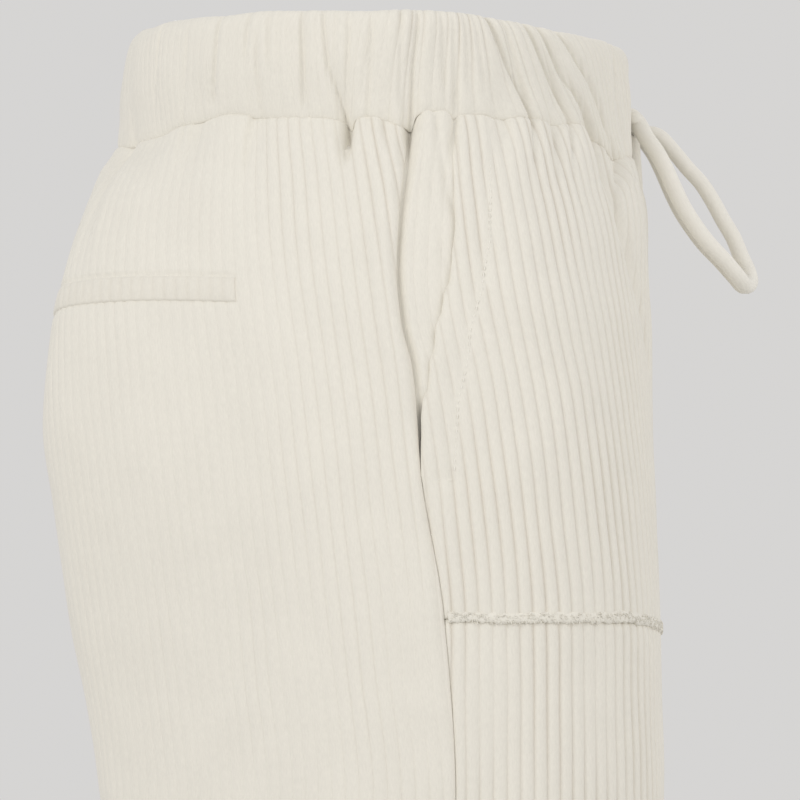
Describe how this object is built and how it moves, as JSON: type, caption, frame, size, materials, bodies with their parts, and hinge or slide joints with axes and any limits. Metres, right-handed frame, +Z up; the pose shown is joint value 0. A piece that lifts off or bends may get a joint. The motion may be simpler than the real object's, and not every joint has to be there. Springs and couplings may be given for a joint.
{
  "type": "pull-on corduroy trousers",
  "caption": "Wide straight pull-on trousers in ribbed corduroy, filled out as if worn, with a gathered elastic waistband, bow-tied drawstring, slant pockets and thigh seams.",
  "frame": {"origin": "centre of the waistband at half its height, where the wearer's waist holds the trousers up", "axes": "+Z up along the legs towards the waist, -Y is the front, +X is the wearer's left"},
  "size_m": [0.361, 0.2902, 1.0217],
  "materials": {
    "corduroy": "soft napped wide-wale corduroy, ecru",
    "band_corduroy": "the same corduroy gathered on elastic",
    "string": "soft velvety tube, ecru"
  },
  "bodies": {
    "root": {"waistband": "band_corduroy", "front_upper_right": "corduroy", "front_lower_right": "corduroy", "back_right": "corduroy", "pocket_facing_right": "corduroy", "back_welt_right": "corduroy", "thigh_raw_edge_right": "corduroy", "front_upper_left": "corduroy", "front_lower_left": "corduroy", "back_left": "corduroy", "pocket_facing_left": "corduroy", "back_welt_left": "corduroy", "thigh_raw_edge_left": "corduroy", "drawstring_knot": "string", "drawstring_loop_right": "string", "drawstring_loop_left": "string", "drawstring_end_right": "string", "drawstring_end_left": "string"}
  },
  "joints": []
}
